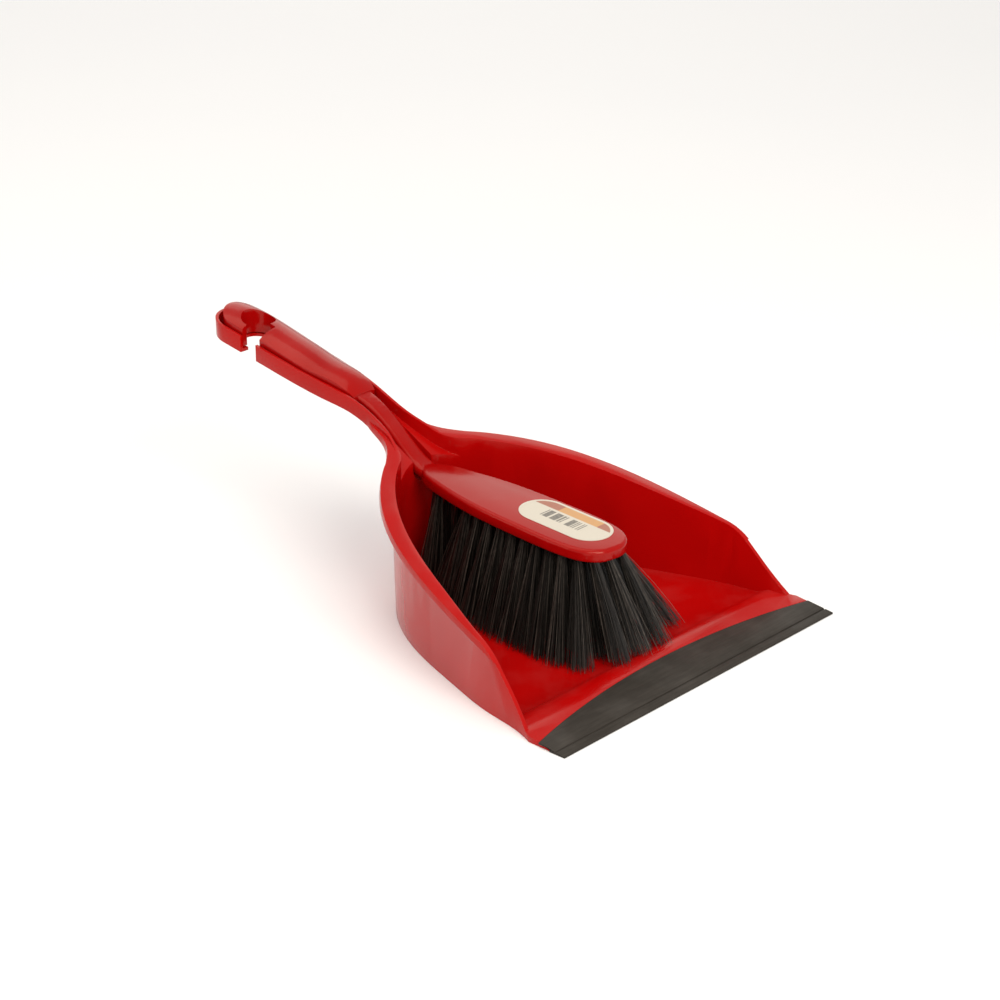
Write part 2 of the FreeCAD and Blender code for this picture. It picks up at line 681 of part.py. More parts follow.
def tuft_row(number, line):
    """One row of bristle tufts: straight in their holes, then flaring to the tips."""
    tufts = []
    for index, (x, y, tip_point) in enumerate(line, start=1):
        name = f"tuft_{number:02d}_{index}"
        tip = FreeCAD.Placement(tip_point, FreeCAD.Rotation())
        rings = [ring(name + "_fold", on_head(x, y, size_of("tuft_depth")), "sizes.tuft_radius"),
                 ring(name + "_root", on_head(x, y, -0.5), "sizes.tuft_radius"),
                 ring(name + "_tip", tip, "sizes.tuft_tip_radius")]
        tufts.append(loft(name, rings, True))
    row = doc.addObject("Part::Compound", f"tuft_row_{number:02d}")
    row.Links = tufts
    return row


def anchor_row(number, line):
    """The flat wire anchors that hold one row of tufts in their holes."""
    anchors = []
    for index, (x, y, _) in enumerate(line, start=1):
        plate = box(f"anchor_{number:02d}_{index}", "sizes.anchor_width", "sizes.anchor_thickness",
                    "sizes.anchor_height")
        plate.Placement = on_head(x - size_of("anchor_width") / 2.0, y - size_of("anchor_thickness") / 2.0,
                                  size_of("tuft_depth") + 0.05)
        anchors.append(plate)
    row = doc.addObject("Part::Compound", f"anchor_row_{number:02d}")
    row.Links = anchors
    return row


# ------------------------------------------------------------------------------------- assembly
def settle(thing, name, place=None):
    """Give a finished sub-part its label and move it into the set's own frame."""
    thing.Label = name
    start = place or FreeCAD.Placement()
    thing.Placement = start
    return bind(thing, Placement__Base__y=f"{start.Base.y} - sizes.overall_length / 2")


places = tuft_places()
label_place = on_head(size_of("label_shift"), size_of("label_place"), size_of("head_thickness"))
parts = {
    "dustpan": settle(dustpan(), "dustpan"),
    "lip_strip": settle(lip_strip(), "lip_strip"),
    "brush_body": settle(brush_body(places), "brush_body"),
    "label": settle(label(), "label", label_place),
}
for row_number, row_line in enumerate(places, start=1):
    for kind, maker in (("tuft_row", tuft_row), ("anchor_row", anchor_row)):
        row_name = f"{kind}_{row_number:02d}"
        parts[row_name] = settle(maker(row_number, row_line), row_name)
doc.recompute()

for thing in doc.Objects:
    if "Invalid" in thing.State or "Error" in thing.State:
        raise RuntimeError(f"{thing.Name} failed: {thing.State}")
for part_name, thing in parts.items():
    if thing.Shape.isNull() or not thing.Shape.isValid():
        raise RuntimeError(f"{part_name} has no valid shape")
for part_name, thing in parts.items():
    thing.Shape.exportStep(f"parts/{part_name}.step")
    span = thing.Shape.BoundBox
    print(f"{part_name}: {len(thing.Shape.Solids)} solids, {thing.Shape.Volume:.0f} mm3, "
          f"x {span.XMin:.1f}..{span.XMax:.1f} y {span.YMin:.1f}..{span.YMax:.1f} "
          f"z {span.ZMin:.1f}..{span.ZMax:.1f}")
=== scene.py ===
"""Looks of the dustpan and hand brush set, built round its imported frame."""
import logging
import math
from dataclasses import dataclass
from enum import Enum

import bpy
import numpy as np
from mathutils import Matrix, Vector


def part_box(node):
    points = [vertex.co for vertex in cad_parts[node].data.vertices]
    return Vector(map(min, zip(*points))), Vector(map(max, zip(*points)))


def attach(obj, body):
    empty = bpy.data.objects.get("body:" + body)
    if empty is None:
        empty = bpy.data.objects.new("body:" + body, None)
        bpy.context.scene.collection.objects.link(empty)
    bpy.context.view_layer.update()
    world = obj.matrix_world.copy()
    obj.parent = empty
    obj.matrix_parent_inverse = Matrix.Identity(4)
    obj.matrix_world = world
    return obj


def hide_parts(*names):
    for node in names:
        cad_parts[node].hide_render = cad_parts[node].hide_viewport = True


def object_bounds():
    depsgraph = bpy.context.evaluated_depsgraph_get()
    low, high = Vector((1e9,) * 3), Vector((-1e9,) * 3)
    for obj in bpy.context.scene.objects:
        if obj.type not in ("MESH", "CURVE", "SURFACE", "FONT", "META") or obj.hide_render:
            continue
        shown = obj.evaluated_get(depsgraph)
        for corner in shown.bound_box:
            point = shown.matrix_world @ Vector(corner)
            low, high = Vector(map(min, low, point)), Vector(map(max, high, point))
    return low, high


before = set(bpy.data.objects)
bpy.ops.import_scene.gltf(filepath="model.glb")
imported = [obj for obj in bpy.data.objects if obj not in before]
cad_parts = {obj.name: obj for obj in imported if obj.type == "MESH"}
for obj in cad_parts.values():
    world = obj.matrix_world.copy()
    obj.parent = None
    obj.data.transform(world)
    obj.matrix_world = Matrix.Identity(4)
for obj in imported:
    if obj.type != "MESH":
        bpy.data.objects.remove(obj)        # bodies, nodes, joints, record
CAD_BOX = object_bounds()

log = logging.getLogger("dustpan_set")
MM = 0.001
MERGE_GAP = 0.02 * MM              # corners of a CAD mesh's loose triangles that are nearer than this are one
FLAT_TURN = math.radians(1.0)      # triangles that turn by less than this make one flat face
SMOOTH_TURN = math.radians(40.0)   # edges that turn by less than this are shaded smooth


class Body(Enum):
    """The bodies that pieces ride on."""

    PAN = "dustpan"
    BRUSH = "brush"


class Slot(Enum):
    """Names of the record's material slots; nothing in this script uses them."""

    PAN = "pan_red"
    STOCK = "brush_red"
    LIP = "lip_rubber"
    BRISTLE = "bristle_black"


# ------------------------------------------------------------------------------------ bench tools
def take(piece: bpy.types.Object) -> None:
    """Deselect everything, then select one piece and make it active.

    Args:
        piece: The object to work on.
    """
    bpy.ops.object.select_all(action="DESELECT")
    piece.select_set(True)
    bpy.context.view_layer.objects.active = piece


def copy_of_node(node: str, name: str) -> bpy.types.Object:
    """Lay out a workable copy of a CAD part: its loose triangles merged and flat faces joined.

    Args:
        node: Name of the CAD node.
        name: Name of the new piece.

    Returns:
        The new piece, at the node's own place.
    """
    piece = bpy.data.objects.new(name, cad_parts[node].data.copy())
    bpy.context.scene.collection.objects.link(piece)
    piece.data.materials.clear()
    take(piece)
    bpy.ops.object.mode_set(mode="EDIT")
    bpy.ops.mesh.select_all(action="SELECT")
    bpy.ops.mesh.remove_doubles(threshold=MERGE_GAP)
    bpy.ops.mesh.dissolve_limited(angle_limit=FLAT_TURN)
    bpy.ops.object.mode_set(mode="OBJECT")
    return piece


def round_edges(piece: bpy.types.Object, width: float, segments: int, sharp: float) -> None:
    """Round every edge that turns by more than an angle, and shade the piece smooth.

    Args:
        piece: The piece to finish.
        width: Width of the rounding, in metres.
        segments: Number of facets across the rounding.
        sharp: Smallest turn that is rounded, in degrees.
    """
    take(piece)
    bevel = piece.modifiers.new("rounded_edges", "BEVEL")
    bevel.width = width
    bevel.segments = segments
    bevel.limit_method = "ANGLE"
    bevel.angle_limit = math.radians(sharp)
    bpy.ops.object.modifier_apply(modifier=bevel.name)
    bpy.ops.object.shade_smooth_by_angle(angle=SMOOTH_TURN)


def settle(piece: bpy.types.Object, body: Body, nodes: list[str]) -> None:
    """Attach a finished piece to its body and hide the CAD parts that it stands for.

    Args:
        piece: The finished piece.
        body: The body it moves with.
        nodes: The CAD nodes that it replaces.
    """
    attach(piece, body.value)
    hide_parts(*nodes)
    log.info("%s: %d faces, rides on %s", piece.name, len(piece.data.polygons), body.value)


# ---------------------------------------------------------------------------------------- finishes
class Wiring:
    """Short hand for laying nodes in a tree."""

    def __init__(self, tree: bpy.types.NodeTree) -> None:
        """Work on one tree.

        Args:
            tree: The tree that the nodes go in.
        """
        self.tree = tree

    def add(self, kind: str, **values: object) -> bpy.types.Node:
        """Add a node and set its properties.

        Args:
            kind: The node's type, without the ShaderNode prefix.
            values: Properties of the node.

        Returns:
            The new node.
        """
        node = self.tree.nodes.new("ShaderNode" + kind)
        for key, value in values.items():
            setattr(node, key, value)
        return node

    def feed(self, node: bpy.types.Node, **inputs: object) -> bpy.types.Node:
        """Set or link a node's inputs.

        An input is named with underscores for its spaces, or by the letter i and its number.

        Args:
            node: The node to feed.
            inputs: Values, or output sockets of other nodes.

        Returns:
            The same node.
        """
        for key, value in inputs.items():
            numbered = key[0] == "i" and key[1:].isdigit()
            socket = node.inputs[int(key[1:]) if numbered else key.replace("_", " ")]
            if isinstance(value, bpy.types.NodeSocket):
                self.tree.links.new(value, socket)
            else:
                socket.default_value = value
        return node

    def math(self, operation: str, *terms: object) -> bpy.types.NodeSocket:
        """Add a Math node.

        Args:
            operation: The node's operation.
            terms: Its inputs, in order.

        Returns:
            Its output.
        """
        node = self.add("Math", operation=operation)
        self.feed(node, **{f"i{index}": term for index, term in enumerate(terms)})
        return node.outputs[0]

    def noise(self, place: bpy.types.NodeSocket, scale: float, detail: float = 2.0) -> bpy.types.NodeSocket:
        """Add a noise pattern.

        Args:
            place: The coordinates it reads.
            scale: Its fineness, in cells per metre.
            detail: Its octaves.

        Returns:
            The pattern's strength, from 0 to 1.
        """
        node = self.feed(self.add("TexNoise"), Vector=place, Scale=scale, Detail=detail)
        return node.outputs["Fac"]

    def spread(self, value: bpy.types.NodeSocket, low: float, high: float, start: object,
               end: object) -> bpy.types.NodeSocket:
        """Map a range of values to another.

        Args:
            value: The value that is mapped.
            low: Where it starts.
            high: Where it ends.
            start: The result at the start.
            end: The result at the end.

        Returns:
            The mapped value.
        """
        node = self.add("MapRange")
        self.feed(node, Value=value, From_Min=low, From_Max=high, To_Min=start, To_Max=end)
        return node.outputs["Result"]

    def blend(self, share: object, first: object, second: object) -> bpy.types.NodeSocket:
        """Mix two colours.

        Args:
            share: How much of the second colour shows.
            first: The first colour.
            second: The second colour.

        Returns:
            The mixed colour.
        """
        node = self.add("Mix", data_type="RGBA")
        self.feed(node, i0=share, i6=first, i7=second)
        return node.outputs[2]


def new_group(name: str, inputs: dict[str, float],
              outputs: list[str]) -> tuple[Wiring, bpy.types.Node, bpy.types.Node]:
    """Start a node group with number inputs and outputs and one vector input.

    Args:
        name: The group's name.
        inputs: Number inputs and their usual values.
        outputs: Number outputs.

    Returns:
        The wiring of the group, its input node and its output node.
    """
    tree = bpy.data.node_groups.new(name, "ShaderNodeTree")
    tree.interface.new_socket("Place", in_out="INPUT", socket_type="NodeSocketVector")
    for key, value in inputs.items():
        tree.interface.new_socket(key, in_out="INPUT", socket_type="NodeSocketFloat").default_value = value
    for key in outputs:
        tree.interface.new_socket(key, in_out="OUTPUT", socket_type="NodeSocketFloat")
    return Wiring(tree), tree.nodes.new("NodeGroupInput"), tree.nodes.new("NodeGroupOutput")


def moulded_skin() -> bpy.types.NodeTree:
    """Uneven skin of a moulding: slow sink marks, fine grain, and gloss dulled by rubbing.

    Returns:
        The node group.
    """
    wire, start, end = new_group("moulded_skin", {"Smooth": 0.2, "Dull": 0.35, "Grain": 0.3},
                                 ["Height", "Roughness", "Shade"])
    place = start.outputs["Place"]
    slow = wire.noise(place, scale=26.0, detail=1.0)
    fine = wire.noise(place, scale=1900.0, detail=2.0)
    rubbed = wire.noise(place, scale=60.0, detail=5.0)
    stretched = wire.feed(wire.add("Mapping"), Vector=place, Rotation=(0.0, 0.0, 0.5), Scale=(1.0, 0.06, 1.0))
    scratches = wire.noise(stretched.outputs["Vector"], scale=900.0, detail=3.0)
    scuffs = wire.spread(scratches, 0.66, 0.74, 0.0, 1.0)
    grain = wire.math("MULTIPLY", fine, start.outputs["Grain"])
    height = wire.math("ADD", slow, wire.math("MULTIPLY", grain, 0.05))
    dulled = wire.math("ADD", wire.spread(rubbed, 0.35, 0.7, 0.0, 0.8), wire.math("MULTIPLY", scuffs, 0.25))
    rough = wire.spread(dulled, 0.0, 1.0, start.outputs["Smooth"], start.outputs["Dull"])
    wire.tree.links.new(height, end.inputs["Height"])
    wire.tree.links.new(rough, end.inputs["Roughness"])
    wire.tree.links.new(wire.spread(slow, 0.3, 0.7, 0.0, 1.0), end.inputs["Shade"])
    return wire.tree


def settled_dust() -> bpy.types.NodeTree:
    """Thin dust that lies in patches on what faces up.

    Returns:
        The node group.
    """
    wire, start, end = new_group("settled_dust", {"Amount": 0.1}, ["Cover"])
    patches = wire.spread(wire.noise(start.outputs["Place"], scale=38.0, detail=6.0), 0.48, 0.72, 0.0, 1.0)
    normal = wire.add("NewGeometry").outputs["Normal"]
    upward = wire.feed(wire.add("SeparateXYZ"), Vector=normal).outputs["Z"]
    facing = wire.spread(upward, 0.4, 1.0, 0.0, 1.0)
    cover = wire.math("MULTIPLY", wire.math("MULTIPLY", patches, facing), start.outputs["Amount"])
    wire.tree.links.new(cover, end.inputs["Cover"])
    return wire.tree


SKIN = moulded_skin()
DUST = settled_dust()
DUST_TONE = (0.62, 0.58, 0.55, 1.0)


def new_material(name: str) -> tuple[bpy.types.Material, Wiring, bpy.types.Node, bpy.types.NodeSocket]:
    """Start a material.

    Args:
        name: The material's name.

    Returns:
        The material, its wiring, its Principled shader and its Object coordinates.
    """
    material = bpy.data.materials.new(name)
    material.use_nodes = True
    wire = Wiring(material.node_tree)
    shader = material.node_tree.nodes["Principled BSDF"]
    return material, wire, shader, wire.add("TexCoord").outputs["Object"]


@dataclass(frozen=True)
class MouldedPlastic:
    """Glossy injection-moulded plastic."""

    name: str
    light: tuple[float, float, float, float]
    deep: tuple[float, float, float, float]
    smooth: float = 0.12
    dull: float = 0.24
    relief: float = 0.11
    relief_depth: float = 0.6 * MM
    dust: float = 0.018
    gloss: float = 0.25
    gloss_tint: tuple[float, float, float, float] = (1.0, 0.86, 0.74, 1.0)

    def material(self) -> bpy.types.Material:
        """Build the finish.

        Returns:
            The material.
        """
        material, wire, shader, place = new_material(self.name)
        skin = wire.feed(wire.add("Group", node_tree=SKIN), Place=place, Smooth=self.smooth, Dull=self.dull)
        dust = wire.feed(wire.add("Group", node_tree=DUST), Place=place, Amount=self.dust)
        tone = wire.blend(skin.outputs["Shade"], self.deep, self.light)
        bump = wire.feed(wire.add("Bump"), Height=skin.outputs["Height"], Strength=self.relief,
                         Distance=self.relief_depth)
        wire.feed(shader, Base_Color=wire.blend(dust.outputs["Cover"], tone, DUST_TONE),
                  Roughness=skin.outputs["Roughness"], Normal=bump.outputs["Normal"],
                  Specular_IOR_Level=self.gloss, Specular_Tint=self.gloss_tint)
        return material


@dataclass(frozen=True)
class SoftRubber:
    """Matte flexible rubber with a fine grain and a dusty bloom."""

    name: str
    tone: tuple[float, float, float, float]
    bloom: tuple[float, float, float, float]
    smooth: float = 0.55
    dull: float = 0.75
    grain: float = 6.0
    relief: float = 0.3
    relief_depth: float = 0.5 * MM
    dust: float = 0.03
    gloss: float = 0.25

    def material(self) -> bpy.types.Material:
        """Build the finish.

        Returns:
            The material.
        """
        material, wire, shader, place = new_material(self.name)
        skin = wire.feed(wire.add("Group", node_tree=SKIN), Place=place, Smooth=self.smooth, Dull=self.dull,
                         Grain=self.grain)
        dust = wire.feed(wire.add("Group", node_tree=DUST), Place=place, Amount=self.dust)
        streaked = wire.feed(wire.add("Mapping"), Vector=place, Scale=(0.08, 1.0, 1.0))
        lines = wire.noise(streaked.outputs["Vector"], scale=700.0, detail=3.0)
        streaks = wire.spread(lines, 0.4, 0.75, 0.0, 0.7)
        tone = wire.blend(streaks, self.tone, self.bloom)
        bump = wire.feed(wire.add("Bump"), Height=skin.outputs["Height"], Strength=self.relief,
                         Distance=self.relief_depth)
        wire.feed(shader, Base_Color=wire.blend(dust.outputs["Cover"], tone, DUST_TONE),
                  Roughness=skin.outputs["Roughness"], Normal=bump.outputs["Normal"],
                  Specular_IOR_Level=self.gloss)
        return material


@dataclass(frozen=True)
class Filament:
    """Black synthetic bristle, each strand of its own shade."""

    name: str
    dark: tuple[float, float, float, float]
    pale: tuple[float, float, float, float]

    def material(self) -> bpy.types.Material:
        """Build the finish.

        Returns:
            The material.
        """
        material, wire, shader, place = new_material(self.name)
        strand = wire.add("Attribute", attribute_name="strand").outputs["Fac"]
        along = wire.spread(wire.noise(place, scale=420.0, detail=2.0), 0.3, 0.7, 0.35, 1.0)
        shade = wire.math("MULTIPLY", wire.math("POWER", strand, 3.0), along)
        wire.feed(shader, Base_Color=wire.blend(shade, self.dark, self.pale),
                  Roughness=wire.spread(strand, 0.0, 1.0, 0.26, 0.48))
        return material


@dataclass(frozen=True)
class DrawnSteel:
    """Drawn wire of the tuft anchors."""

    name: str
    dark: tuple[float, float, float, float] = (0.42, 0.42, 0.43, 1.0)
    bright: tuple[float, float, float, float] = (0.62, 0.62, 0.62, 1.0)

    def material(self) -> bpy.types.Material:
        """Build the finish.

        Returns:
            The material.
        """
        material, wire, shader, place = new_material(self.name)
        lines = wire.feed(wire.add("Mapping"), Vector=place, Scale=(0.1, 1.0, 1.0))
        drawn = wire.noise(lines.outputs["Vector"], scale=5000.0, detail=3.0)
        wire.feed(shader, Base_Color=wire.blend(drawn, self.dark, self.bright),
                  Roughness=wire.spread(drawn, 0.3, 0.7, 0.25, 0.45), Metallic=1.0)
        return material


@dataclass(frozen=True)
class PrintedLabel:
    """Cream paper label with a block of plain bars and a warm band along one side."""

    name: str
    centre: Vector
    half_width: float = 13.5 * MM
    half_straight: float = 15.5 * MM
    border: float = 1.7 * MM
    band_start: float = 5.2 * MM
    gold_reach: tuple[float, float] = (-17.0 * MM, 10.0 * MM)
    bars_along: tuple[float, float] = (-14.0 * MM, 17.0 * MM)
    bars_across: tuple[float, float] = (-5.2 * MM, 3.2 * MM)
    bar_width: float = 0.7 * MM
    bar_share: float = 0.42
    blur: float = 0.12 * MM
    beyond: float = 1.0
    paper: tuple[float, float, float, float] = (0.60, 0.56, 0.48, 1.0)
    ink: tuple[float, float, float, float] = (0.07, 0.066, 0.06, 1.0)
    gold: tuple[float, float, float, float] = (0.58, 0.30, 0.09, 1.0)
    rust: tuple[float, float, float, float] = (0.34, 0.10, 0.055, 1.0)

    def within(self, wire: Wiring, value: bpy.types.NodeSocket, low: float,
               high: float) -> bpy.types.NodeSocket:
        """Mask of what lies between two values, with soft edges.

        Args:
            wire: The material's wiring.
            value: The value that is tested.
            low: Lower limit, in metres.
            high: Upper limit, in metres.

        Returns:
            The mask.
        """
        above = wire.spread(value, low - self.blur, low + self.blur, 0.0, 1.0)
        below = wire.spread(value, high - self.blur, high + self.blur, 1.0, 0.0)
        return wire.math("MULTIPLY", above, below)

    def material(self) -> bpy.types.Material:
        """Build the finish.

        Returns:
            The material.
        """
        material, wire, shader, place = new_material(self.name)
        centred = wire.feed(wire.add("Mapping"), Vector=place, Location=-self.centre)
        axes = wire.feed(wire.add("SeparateXYZ"), Vector=centred.outputs["Vector"])
        across, along = axes.outputs["X"], axes.outputs["Y"]
        past = wire.math("SUBTRACT", wire.math("ABSOLUTE", along), self.half_straight)
        past = wire.math("MAXIMUM", past, 0.0)
        square = wire.math("ADD", wire.math("POWER", across, 2.0), wire.math("POWER", past, 2.0))
        reach = wire.math("SQRT", square)
        inset = self.within(wire, reach, -self.beyond, self.half_width - self.border)
        band = wire.math("MULTIPLY", inset, self.within(wire, across, self.band_start, self.beyond))
        warm = self.within(wire, along, *self.gold_reach)
        steps = wire.math("FLOOR", wire.math("MULTIPLY", along, 1.0 / self.bar_width))
        random = wire.feed(wire.add("TexWhiteNoise", noise_dimensions="1D"), W=steps).outputs["Value"]
        bars = wire.math("GREATER_THAN", random, self.bar_share)
        block = wire.math("MULTIPLY", self.within(wire, along, *self.bars_along),
                          self.within(wire, across, *self.bars_across))
        mottled = wire.noise(place, scale=900.0, detail=4.0)
        worn = wire.spread(mottled, 0.3, 0.75, 0.95, 0.6)
        ink = wire.math("MULTIPLY", wire.math("MULTIPLY", bars, block), worn)
        gilt = wire.math("MULTIPLY", warm, wire.spread(mottled, 0.3, 0.7, 0.8, 1.0))
        tint = wire.blend(gilt, self.rust, self.gold)
        base = wire.blend(wire.math("MULTIPLY", band, 0.92), self.paper, tint)
        fibre = wire.noise(place, scale=3200.0, detail=4.0)
        bump = wire.feed(wire.add("Bump"), Height=fibre, Strength=0.12, Distance=0.1 * MM)
        wire.feed(shader, Base_Color=wire.blend(ink, base, self.ink),
                  Roughness=wire.spread(mottled, 0.3, 0.7, 0.36, 0.5), Normal=bump.outputs["Normal"])
        return material


# ----------------------------------------------------------------------------------- sub-assemblies
@dataclass
class Dustpan:
    """The pan moulding with its trough-shaped handle, and the rubber lip along its mouth."""

    plastic: MouldedPlastic
    rubber: SoftRubber
    rim_round: float = 0.6 * MM
    rim_sharp: float = 32.0
    lip_round: float = 0.25 * MM
    lip_sharp: float = 20.0

    def moulding(self) -> bpy.types.Object:
        """Round the moulding's edges and dress it.

        Returns:
            The pan.
        """
        pan = copy_of_node("dustpan", "pan_moulding")
        round_edges(pan, self.rim_round, 3, self.rim_sharp)
        pan.data.materials.append(self.plastic.material())
        settle(pan, Body.PAN, ["dustpan"])
        return pan

    def lip(self) -> bpy.types.Object:
        """Soften the rubber lip's edges and dress it.

        Returns:
            The lip.
        """
        lip = copy_of_node("lip_strip", "rubber_lip")
        round_edges(lip, self.lip_round, 2, self.lip_sharp)
        lip.data.materials.append(self.rubber.material())
        settle(lip, Body.PAN, ["lip_strip"])
        return lip

    def build(self) -> None:
        """Build both pieces."""
        self.moulding()
        self.lip()


@dataclass
class BrushStock:
    """The brush's head, neck and grip in one moulding, and the label on its head."""

    plastic: MouldedPlastic
    edge_round: float = 0.7 * MM
    edge_sharp: float = 32.0

    def moulding(self) -> bpy.types.Object:
        """Round the stock's edges and dress it.

        Returns:
            The stock.
        """
        stock = copy_of_node("brush_body", "brush_stock")
        round_edges(stock, self.edge_round, 3, self.edge_sharp)
        stock.data.materials.append(self.plastic.material())
        settle(stock, Body.BRUSH, ["brush_body"])
        return stock

    def label(self) -> None:
        """Print the label, which keeps its CAD shape."""
        low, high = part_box("label")
        paper = PrintedLabel("printed_label", (low + high) / 2.0)
        dress(["label"], paper.material())

    def build(self) -> None:
        """Build the stock and print the label."""
        self.moulding()
        self.label()


def dress(nodes: list[str], material: bpy.types.Material) -> None:
    """Give CAD parts that stay a finish of their own.

    Args:
        nodes: Names of the CAD nodes.
        material: Their finish.
    """
    for name in nodes:
        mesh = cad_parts[name].data
        mesh.materials.clear()
        mesh.materials.append(material)
        log.info("%s: dressed with %s", name, material.name)


@dataclass
class TuftRows:
    """Tufts of bristle, set row by row in the brush's head.

    The shares are of a tuft's radius; lean is how far a hole leans back for each step down.
    """

    finish: Filament
    rows: int = 15
    strands: int = 130
    thickness: float = 0.17 * MM
    tip_taper: float = 0.8
    root_radius: float = 2.05 * MM
    tip_radius: float = 6.5 * MM
    hole_depth: float = 3.7 * MM
    lean: float = 0.054
    uneven_share: float = 0.07
    scatter_share: float = 0.19
    ragged_end: float = 1.1 * MM
    bow: float = 0.02
    bow_spread: float = 0.05
    wander: float = 0.3 * MM
    stations: int = 6
    root_slack: float = 0.9 * MM
    tip_slack: float = 0.05 * MM
    tuft_gap: float = 1.5 * MM
    floor_gap: float = 0.35 * MM
    smooth_turn: float = math.radians(70.0)
    seed: int = 7

    def strand(self) -> tuple[np.ndarray, np.ndarray, list[list[int]]]:
        """Model one strand: a three-sided rod with rings for its bends.

        Returns:
            Each corner's station, its place across the rod, and the faces.
        """
        bpy.ops.object.select_all(action="DESELECT")
        bpy.ops.mesh.primitive_cylinder_add(vertices=3, radius=1.0, depth=1.0, location=(0.0, 0.0, 0.5))
        rod = bpy.context.object
        bpy.ops.object.transform_apply(location=True)
        bpy.ops.object.mode_set(mode="EDIT")
        for ring in range(1, self.stations - 1):
            bpy.ops.mesh.select_all(action="SELECT")
            bpy.ops.mesh.bisect(plane_co=(0.0, 0.0, ring / (self.stations - 1)), plane_no=(0.0, 0.0, 1.0))
        bpy.ops.object.mode_set(mode="OBJECT")
        corners = np.array([corner.co for corner in rod.data.vertices])
        faces = [list(face.vertices)[::-1] for face in rod.data.polygons]
        bpy.data.objects.remove(rod, do_unlink=True)
        return np.rint(corners[:, 2] * (self.stations - 1)).astype(int), corners[:, :2], faces

    def tuft_ends(self, node: str) -> list[tuple[np.ndarray, np.ndarray]]:
        """Find where each tuft of a row is held and where its tip is.

        Args:
            node: The row's CAD node.

        Returns:
            The middle of each tuft's root and tip, from left to right.
        """
        corners = np.array([corner.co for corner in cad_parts[node].data.vertices])
        ends = []
        levels = ((corners[:, 2].max(), self.root_slack), (corners[:, 2].min(), self.tip_slack))
        for level, slack in levels:
            near = corners[np.abs(corners[:, 2] - level) < slack]
            near = near[np.argsort(near[:, 0])]
            breaks = np.where(np.diff(near[:, 0]) > self.tuft_gap)[0] + 1
            groups = np.split(near, breaks)
            ends.append([(group.min(0) + group.max(0)) / 2.0 for group in groups])
        return list(zip(*ends))

    def paths(self, root: np.ndarray, tip: np.ndarray, draw: np.random.Generator) -> np.ndarray:
        """Lay the strands of one tuft from its hole to its tip.

        Args:
            root: Middle of the tuft in its hole.
            tip: Middle of its tip.
            draw: Source of chance.

        Returns:
            Points of each strand, station by station.
        """
        count = self.strands
        turn = np.arange(count) * math.pi * (3.0 - math.sqrt(5.0))
        reach = np.sqrt((np.arange(count) + 0.5) / count)
        disc = np.stack([np.cos(turn) * reach, np.sin(turn) * reach, np.zeros(count)], 1)
        disc[:, :2] += draw.normal(0.0, self.uneven_share, (count, 2))
        start = root + disc * self.root_radius
        leave = start + np.array([0.0, self.lean, -1.0]) * self.hole_depth
        scatter = draw.normal(0.0, self.scatter_share, (count, 3))
        end = tip + (disc + scatter) * self.tip_radius
        end[:, 2] = tip[2] + np.abs(draw.normal(0.0, self.ragged_end, count))
        middle = (leave + end) / 2.0
        middle[:, :2] += (end - leave)[:, :2] * draw.normal(self.bow, self.bow_spread, (count, 1))
        middle[:, :2] += draw.normal(0.0, self.wander, (count, 2))
        line = [start]
        for share in np.linspace(0.0, 1.0, self.stations - 1):
            line.append(leave * (1 - share) ** 2 + middle * 2 * share * (1 - share) + end * share ** 2)
        return np.stack(line, 1)

    def ramp_height(self, along: np.ndarray) -> np.ndarray:
        """Height of the pan's floor and of the rise behind its lip.

        Args:
            along: Places along the pan, from its front edge, in millimetres.

        Returns:
            The floor's height there, in metres.
        """
        places = (30.0, 38.0, 45.0)
        heights = (4.2, 5.0, 2.4)
        return np.interp(along, places, heights) * MM

    def row(self, number: int, parts: tuple[np.ndarray, np.ndarray, list[list[int]]]) -> bpy.types.Object:
        """Build one row of tufts.

        Args:
            number: The row's number, from the front.
            parts: The strand that is copied.

        Returns:
            The row.
        """
        node = f"tuft_row_{number:02d}"
        draw = np.random.default_rng(self.seed + number)
        tufts = self.tuft_ends(node)
        front = CAD_BOX[0].y
        points = np.concatenate([self.paths(root, tip, draw) for root, tip in tufts])
        ground = self.ramp_height((points[:, :, 1] - front) / MM) + self.floor_gap
        points[:, :, 2] = np.maximum(points[:, :, 2], ground)
        station, across, faces = parts
        taper = np.linspace(1.0, self.tip_taper, self.stations)[station]
        corners = points[:, station, :]
        corners[:, :, :2] += (across * taper[:, None]) * self.thickness
        count, size = corners.shape[:2]
        shift = (np.arange(count) * size)[:, None, None]
        sides = (np.array([face for face in faces if len(face) == 4]) + shift).reshape(-1, 4)
        caps = (np.array([face for face in faces if len(face) == 3]) + shift).reshape(-1, 3)
        mesh = bpy.data.meshes.new(f"bristles_row_{number:02d}")
        mesh.from_pydata(corners.reshape(-1, 3).tolist(), [], sides.tolist() + caps.tolist())
        shade = mesh.attributes.new("strand", "FLOAT", "POINT")
        shade.data.foreach_set("value", np.repeat(draw.random(count), size).astype(np.float32))
        row = bpy.data.objects.new(mesh.name, mesh)
        bpy.context.scene.collection.objects.link(row)
        take(row)
        bpy.ops.object.shade_smooth_by_angle(angle=self.smooth_turn)
        settle(row, Body.BRUSH, [node])
        return row

    def build(self) -> None:
        """Build every row and dress the anchors that hold them."""
        parts = self.strand()
        material = self.finish.material()
        for number in range(1, self.rows + 1):
            self.row(number, parts).data.materials.append(material)
        steel = DrawnSteel("drawn_steel").material()
        dress([f"anchor_row_{number:02d}" for number in range(1, self.rows + 1)], steel)


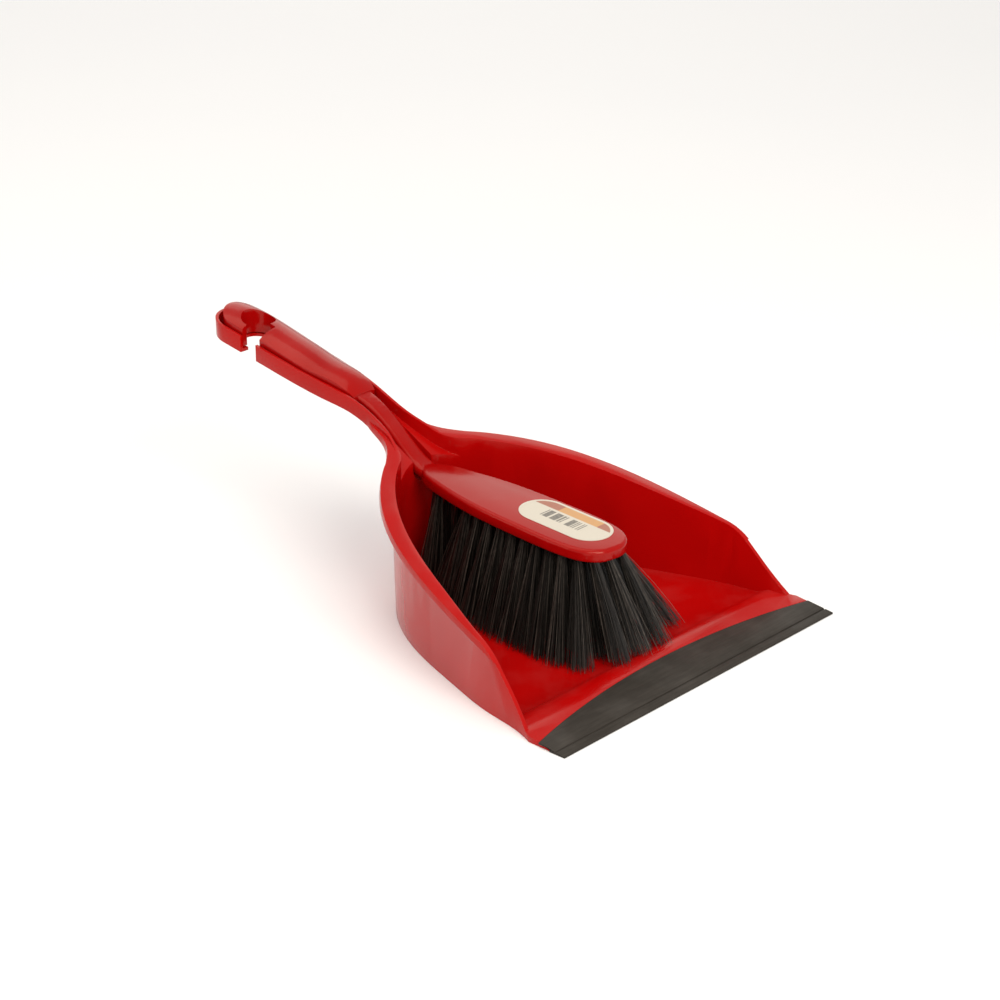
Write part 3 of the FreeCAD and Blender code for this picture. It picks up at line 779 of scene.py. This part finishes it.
# ------------------------------------------------------------------------------------------ studio
@dataclass
class Studio:
    """Pale floor, soft light and the camera."""

    floor_size: float = 9.0
    floor_drop: float = 0.05 * MM
    sky: float = 0.56
    sky_tint: tuple[float, float, float, float] = (1.0, 0.975, 0.94, 1.0)
    warmth: tuple[float, float, float] = (1.0, 0.93, 0.83)
    lens: float = 94.8
    sensor: float = 36.0
    camera_place: tuple[float, float, float] = (-0.9576, -0.9182, 0.6187)
    camera_aim: tuple[float, float, float] = (0.05143, 0.01055, 0.030)

    def floor(self) -> None:
        """Lay the floor."""
        bpy.ops.object.select_all(action="DESELECT")
        bpy.ops.mesh.primitive_plane_add(size=self.floor_size, location=(0.0, 0.0, -self.floor_drop))
        floor = bpy.context.object
        floor.name = "pale_floor"
        material, wire, shader, place = new_material("pale_floor")
        cloudy = wire.noise(place, scale=3.0, detail=2.0)
        wire.feed(shader, Base_Color=wire.blend(cloudy, (0.90, 0.92, 0.96, 1.0), (0.92, 0.94, 0.97, 1.0)),
                  Roughness=0.85)
        floor.data.materials.append(material)

    def softbox(self, name: str, place: tuple[float, float, float], aim: tuple[float, float, float],
                size: tuple[float, float], power: float) -> None:
        """Hang a soft light.

        Args:
            name: The light's name.
            place: Where it hangs.
            aim: The point it faces.
            size: Its width and height.
            power: Its power, in watts.
        """
        data = bpy.data.lights.new(name, "AREA")
        data.shape = "RECTANGLE"
        data.size, data.size_y = size
        data.energy = power
        data.color = self.warmth
        light = bpy.data.objects.new(name, data)
        light.location = place
        light.rotation_euler = (Vector(aim) - Vector(place)).to_track_quat("-Z", "Y").to_euler()
        bpy.context.scene.collection.objects.link(light)

    def lights(self) -> None:
        """Set the sky's glow and hang the lights."""
        world = bpy.data.worlds.new("studio")
        world.use_nodes = True
        glow = world.node_tree.nodes["Background"]
        glow.inputs["Color"].default_value = self.sky_tint
        glow.inputs["Strength"].default_value = self.sky
        bpy.context.scene.world = world
        foot, heart, back = (0.0, 0.0, 0.0), (0.0, 0.0, 0.05), (0.0, 0.1, 0.05)
        self.softbox("overhead_softbox", place=(-0.25, 0.35, 1.6), aim=foot, size=(1.6, 1.6), power=11.0)
        self.softbox("far_softbox", place=(1.5, 1.5, 1.0), aim=heart, size=(2.2, 1.4), power=8.0)
        self.softbox("left_softbox", place=(-1.6, 0.9, 0.7), aim=back, size=(1.0, 0.8), power=3.0)
        self.softbox("front_softbox", place=(-0.55, -1.75, 1.35), aim=heart, size=(1.2, 1.2), power=31.0)
        self.softbox("near_softbox", place=(-1.25, -1.0, 1.05), aim=heart, size=(0.22, 0.22), power=3.5)

    def camera(self) -> None:
        """Set up the camera."""
        data = bpy.data.cameras.new("camera")
        data.lens = self.lens
        data.sensor_width = self.sensor
        camera = bpy.data.objects.new("camera", data)
        camera.location = self.camera_place
        look = Vector(self.camera_aim) - camera.location
        camera.rotation_euler = look.to_track_quat("-Z", "Y").to_euler()
        bpy.context.scene.collection.objects.link(camera)
        bpy.context.scene.camera = camera

    def build(self) -> None:
        """Build the studio, with colours shown as they are."""
        self.floor()
        self.lights()
        self.camera()
        bpy.context.scene.view_settings.view_transform = "Standard"


def main() -> None:
    """Build the set, piece by piece."""
    logging.basicConfig(level=logging.INFO, format="%(message)s")
    pan_red = MouldedPlastic("pan_plastic", light=(0.42, 0.0012, 0.0012, 1.0),
                             deep=(0.375, 0.001, 0.001, 1.0))
    brush_red = MouldedPlastic("brush_plastic", light=(0.35, 0.0016, 0.0016, 1.0),
                               deep=(0.315, 0.0012, 0.0012, 1.0), relief=0.08)
    rubber = SoftRubber("lip_rubber", tone=(0.024, 0.020, 0.016, 1.0), bloom=(0.042, 0.036, 0.030, 1.0))
    bristle = Filament("black_bristle", dark=(0.006, 0.0052, 0.0046, 1.0), pale=(0.12, 0.10, 0.085, 1.0))
    Dustpan(pan_red, rubber).build()
    BrushStock(brush_red).build()
    TuftRows(bristle).build()
    Studio().build()


if __name__ == "__main__":
    main()
